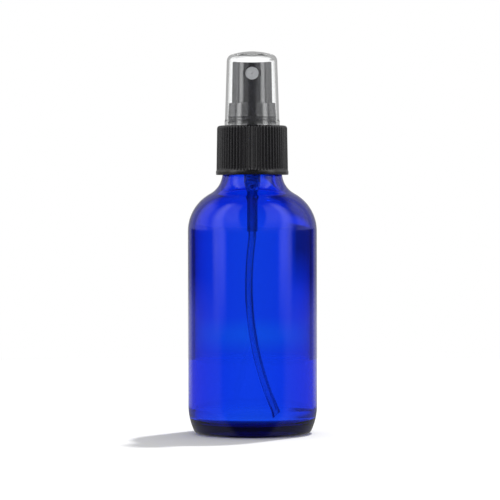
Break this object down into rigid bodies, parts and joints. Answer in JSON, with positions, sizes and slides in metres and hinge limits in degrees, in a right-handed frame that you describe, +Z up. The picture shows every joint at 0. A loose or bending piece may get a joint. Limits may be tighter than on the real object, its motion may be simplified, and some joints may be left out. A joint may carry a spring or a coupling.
{
  "type": "spray bottle",
  "caption": "Round-shouldered cobalt glass bottle with a fine-mist finger pump on a ribbed screw collar, under a clear overcap.",
  "frame": {"origin": "centre of the foot ring, on the surface that the bottle stands on", "axes": "+Z up the bottle's axis, the nozzle sprays towards -Y, the dip tube's foot bends towards +X"},
  "size_m": [0.0486, 0.0486, 0.1437],
  "materials": {
    "cobalt_glass": "polished, deep cobalt blue, see-through",
    "tube_plastic": "translucent natural polyethylene",
    "natural_plastic": "translucent natural polypropylene",
    "soft_plastic": "soft waxy polyethylene",
    "seal": "soft white sealing disc",
    "steel": "bright stainless",
    "collar_plastic": "satin black",
    "button_plastic": "glossy black",
    "insert_plastic": "light grey",
    "clear_plastic": "clear, polished"
  },
  "bodies": {
    "bottle": {"bottle": "cobalt_glass"},
    "pump": {"pump_housing": "natural_plastic", "dip_tube": "tube_plastic", "stem_guide": "natural_plastic", "neck_gasket": "seal", "return_spring": "steel"},
    "collar": {"screw_collar": "collar_plastic"},
    "overcap": {"overcap": "clear_plastic"},
    "stem": {"stem": "natural_plastic", "piston_seat": "natural_plastic"},
    "button": {"actuator": "button_plastic", "nozzle_insert": "insert_plastic"},
    "piston": {"piston": "soft_plastic"},
    "ball": {"inlet_ball": "steel"}
  },
  "joints": [
    {"name": "sprayer_lift", "type": "slide", "parent": "bottle", "child": "pump", "axis": [0, 0, 1], "range_m": [0, 0.004]},
    {"name": "collar_turn", "type": "hinge", "parent": "pump", "child": "collar", "pos_m": [0, 0, 0.1], "axis": [0, 0, 1], "range_deg": [0, 450]},
    {"name": "overcap_lift", "type": "slide", "parent": "collar", "child": "overcap", "axis": [0, 0, 1], "range_m": [0, 0.03]},
    {"name": "actuator_press", "type": "slide", "parent": "pump", "child": "stem", "axis": [0, 0, -1], "range_m": [0, 0.0045], "stiffness_N_per_m": 1500, "springref_m": -0.003, "deforming": ["return_spring"]},
    {"name": "button_turn", "type": "hinge", "parent": "stem", "child": "button", "pos_m": [0, 0, 0.13], "axis": [0, 0, 1], "continuous": true},
    {"name": "piston_slip", "type": "slide", "parent": "stem", "child": "piston", "axis": [0, 0, 1], "range_m": [0, 0.0005]},
    {"name": "ball_lift", "type": "slide", "parent": "pump", "child": "ball", "axis": [0, 0, 1], "range_m": [0, 0.0008]}
  ],
  "couplings": [
    {"joint": "sprayer_lift", "follows": "collar_turn", "m_per_rad": 0.00050531},
    {"joint": "piston_slip", "follows": "actuator_press", "ratio": 0.11111}
  ]
}
